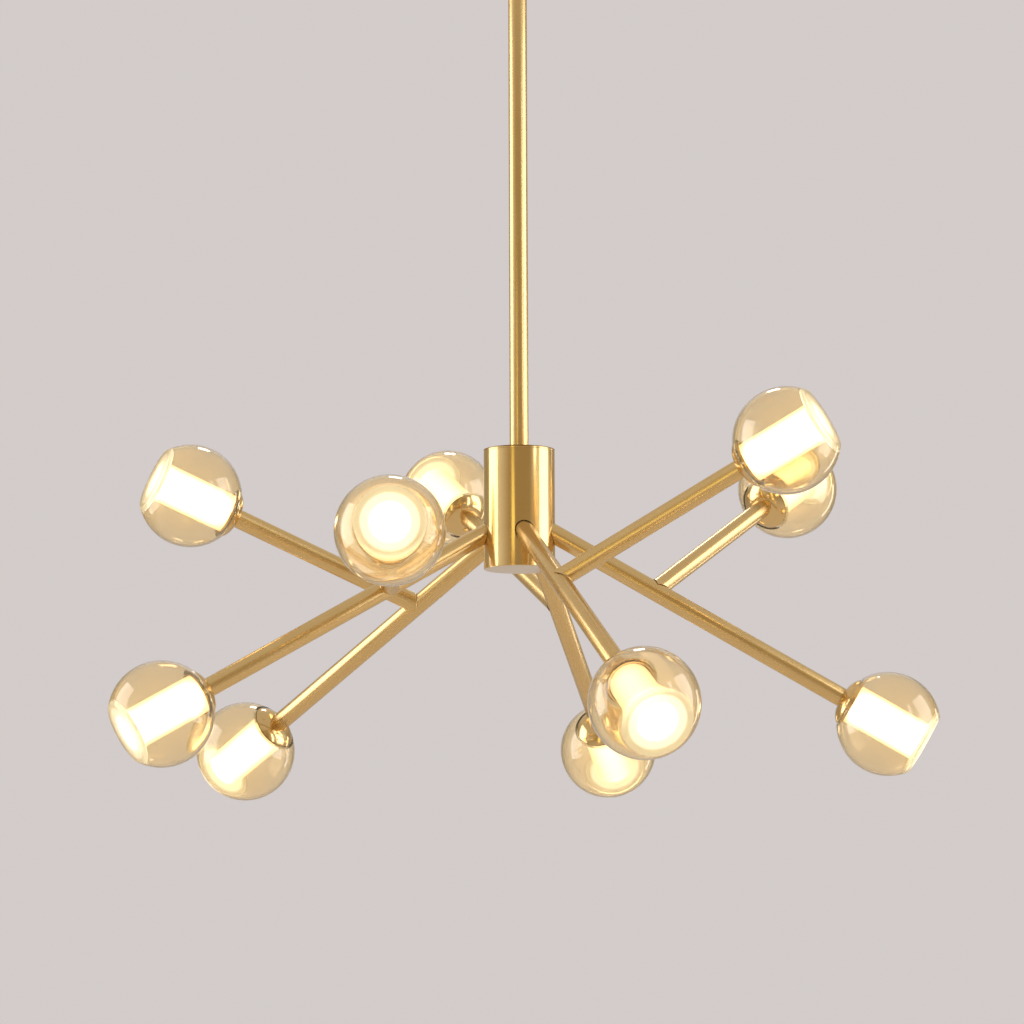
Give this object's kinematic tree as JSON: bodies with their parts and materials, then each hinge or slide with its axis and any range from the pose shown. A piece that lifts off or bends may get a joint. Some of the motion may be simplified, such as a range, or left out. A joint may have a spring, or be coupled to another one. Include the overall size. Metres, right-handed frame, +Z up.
{
  "type": "ceiling chandelier",
  "caption": "Branching sputnik chandelier: a rigid stem and round hub carry drooping arms, each with a rising branch, all ending in flat-fronted glass balls.",
  "frame": {"origin": "on the ceiling, at the centre of the mounting bar's upper face, midway between its two slots", "axes": "+Z up into the ceiling; X along the mounting bar; -Y towards the front of the light"},
  "size_m": [0.9439, 0.9281, 1.0654],
  "materials": {
    "satin_brass": "satin, brushed round the axis",
    "tinted_glass": "clear, light champagne tint",
    "frosted_glass": "frosted, lit from inside",
    "lamp_envelope": "milky",
    "white_ceramic": "glazed ceramic",
    "flex_sheath": "smooth",
    "terminal_plastic": "moulded",
    "zinc_steel": "zinc plated"
  },
  "bodies": {
    "ceiling_fitting": {"crossbar": "zinc_steel", "canopy": "satin_brass", "canopy_screws": "satin_brass", "canopy_nipple": "zinc_steel", "ceiling_terminal": "terminal_plastic"},
    "swivel": {"swivel_yoke": "satin_brass", "swivel_pin": "satin_brass"},
    "stem_and_hub": {"swivel_knuckle": "satin_brass", "stem_tube": "satin_brass", "stem_lead": "flex_sheath", "hub_core": "satin_brass", "arm_lock_nuts": "zinc_steel", "hub_shell": "satin_brass", "hub_terminal": "terminal_plastic"},
    "hub_cover": {"hub_lid": "satin_brass"},
    "arm_unit_1": {"main_arm_1": "satin_brass", "branch_arm_1": "satin_brass", "shade_caps_1": "satin_brass", "lampholders_1": "white_ceramic", "lamps_1": "lamp_envelope", "diffusers_1": "frosted_glass", "arm_leads_1": "flex_sheath"},
    "ball_1_low": {"globe_1_low": "tinted_glass"},
    "ball_1_high": {"globe_1_high": "tinted_glass"},
    "arm_unit_2": {"main_arm_2": "satin_brass", "branch_arm_2": "satin_brass", "shade_caps_2": "satin_brass", "lampholders_2": "white_ceramic", "lamps_2": "lamp_envelope", "diffusers_2": "frosted_glass", "arm_leads_2": "flex_sheath"},
    "ball_2_low": {"globe_2_low": "tinted_glass"},
    "ball_2_high": {"globe_2_high": "tinted_glass"},
    "arm_unit_3": {"main_arm_3": "satin_brass", "branch_arm_3": "satin_brass", "shade_caps_3": "satin_brass", "lampholders_3": "white_ceramic", "lamps_3": "lamp_envelope", "diffusers_3": "frosted_glass", "arm_leads_3": "flex_sheath"},
    "ball_3_low": {"globe_3_low": "tinted_glass"},
    "ball_3_high": {"globe_3_high": "tinted_glass"},
    "arm_unit_4": {"main_arm_4": "satin_brass", "branch_arm_4": "satin_brass", "shade_caps_4": "satin_brass", "lampholders_4": "white_ceramic", "lamps_4": "lamp_envelope", "diffusers_4": "frosted_glass", "arm_leads_4": "flex_sheath"},
    "ball_4_low": {"globe_4_low": "tinted_glass"},
    "ball_4_high": {"globe_4_high": "tinted_glass"},
    "arm_unit_5": {"main_arm_5": "satin_brass", "branch_arm_5": "satin_brass", "shade_caps_5": "satin_brass", "lampholders_5": "white_ceramic", "lamps_5": "lamp_envelope", "diffusers_5": "frosted_glass", "arm_leads_5": "flex_sheath"},
    "ball_5_low": {"globe_5_low": "tinted_glass"},
    "ball_5_high": {"globe_5_high": "tinted_glass"}
  },
  "joints": [
    {"name": "swivel_turn", "type": "hinge", "parent": "ceiling_fitting", "child": "swivel", "pos_m": [0, 0, -0.0263], "axis": [0, 0, 1], "range_deg": [-170, 170]},
    {"name": "stem_tilt", "type": "hinge", "parent": "swivel", "child": "stem_and_hub", "pos_m": [0, 0, -0.0541], "axis": [-0.5878, 0.809, 0], "range_deg": [-45, 45]},
    {"name": "lid_lift", "type": "slide", "parent": "stem_and_hub", "child": "hub_cover", "axis": [0, 0, 1], "range_m": [0, 0.1]},
    {"name": "arm_turn_1", "type": "hinge", "parent": "stem_and_hub", "child": "arm_unit_1", "pos_m": [0.00131, -0.0253, -0.76491], "axis": [0.2782, -0.8079, -0.5195], "range_deg": [-25, 25]},
    {"name": "ball_off_1_low", "type": "slide", "parent": "arm_unit_1", "child": "ball_1_low", "axis": [0.2782, -0.8079, -0.5195], "range_m": [0, 0.1]},
    {"name": "ball_off_1_high", "type": "slide", "parent": "arm_unit_1", "child": "ball_1_high", "axis": [0.8263, -0.3136, 0.4678], "range_m": [0, 0.1]},
    {"name": "arm_turn_2", "type": "hinge", "parent": "stem_and_hub", "child": "arm_unit_2", "pos_m": [0.02462, -0.00713, -0.76439], "axis": [0.8651, -0.0045, -0.5015], "range_deg": [-25, 25]},
    {"name": "ball_off_2_low", "type": "slide", "parent": "arm_unit_2", "child": "ball_2_low", "axis": [0.8651, -0.0045, -0.5015], "range_m": [0, 0.1]},
    {"name": "ball_off_2_high", "type": "slide", "parent": "arm_unit_2", "child": "ball_2_high", "axis": [0.5639, 0.6665, 0.4877], "range_m": [0, 0.1]},
    {"name": "arm_turn_3", "type": "hinge", "parent": "stem_and_hub", "child": "arm_unit_3", "pos_m": [0.01289, 0.02224, -0.76426], "axis": [0.2143, 0.8409, -0.497], "range_deg": [-25, 25]},
    {"name": "ball_off_3_low", "type": "slide", "parent": "arm_unit_3", "child": "ball_3_low", "axis": [0.2143, 0.8409, -0.497], "range_m": [0, 0.1]},
    {"name": "ball_off_3_high", "type": "slide", "parent": "arm_unit_3", "child": "ball_3_high", "axis": [-0.4465, 0.7164, 0.5362], "range_m": [0, 0.1]},
    {"name": "arm_turn_4", "type": "hinge", "parent": "stem_and_hub", "child": "arm_unit_4", "pos_m": [-0.0156, 0.01994, -0.76495], "axis": [-0.6914, 0.5005, -0.521], "range_deg": [-25, 25]},
    {"name": "ball_off_4_low", "type": "slide", "parent": "arm_unit_4", "child": "ball_4_low", "axis": [-0.6914, 0.5005, -0.521], "range_m": [0, 0.1]},
    {"name": "ball_off_4_high", "type": "slide", "parent": "arm_unit_4", "child": "ball_4_high", "axis": [-0.8667, -0.3131, 0.3884], "range_m": [0, 0.1]},
    {"name": "arm_turn_5", "type": "hinge", "parent": "stem_and_hub", "child": "arm_unit_5", "pos_m": [-0.02563, -0.0022, -0.76422], "axis": [-0.8126, -0.307, -0.4955], "range_deg": [-25, 25]},
    {"name": "ball_off_5_low", "type": "slide", "parent": "arm_unit_5", "child": "ball_5_low", "axis": [-0.8126, -0.307, -0.4955], "range_m": [0, 0.1]},
    {"name": "ball_off_5_high", "type": "slide", "parent": "arm_unit_5", "child": "ball_5_high", "axis": [0.0316, -0.9962, 0.0807], "range_m": [0, 0.1]}
  ]
}
